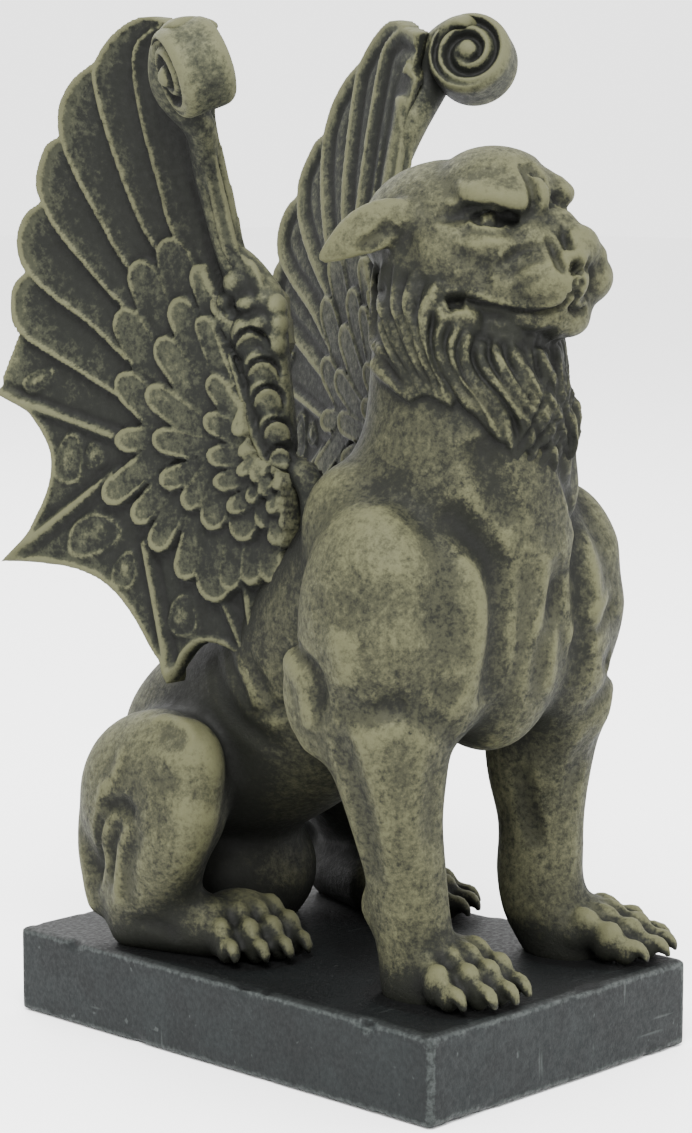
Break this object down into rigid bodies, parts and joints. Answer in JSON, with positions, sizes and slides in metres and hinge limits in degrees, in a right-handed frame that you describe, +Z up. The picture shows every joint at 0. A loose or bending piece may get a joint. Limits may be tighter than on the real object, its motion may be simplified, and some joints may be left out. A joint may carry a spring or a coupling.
{
  "type": "gargoyle statue",
  "caption": "Seated winged cat-like gargoyle with folded-back ears, a bearded mane, feathered wings that end in scrolls, and a rectangular slate-coloured plinth",
  "frame": {"origin": "the middle of the plinth's underside, which is the face that the statue stands on", "axes": "+Z is up. The beast faces -Y, so -Y is the front, and -X is its own right side."},
  "size_m": [0.106, 0.1357, 0.2308],
  "materials": {
    "slate_plinth": "matt slate-coloured cast stone with light scratches and chipped edges",
    "aged_resin": "matt cast stone resin, olive-black with pale ochre dry-brushed high spots"
  },
  "bodies": {
    "root": {"plinth": "slate_plinth", "figure": "aged_resin"}
  },
  "joints": []
}
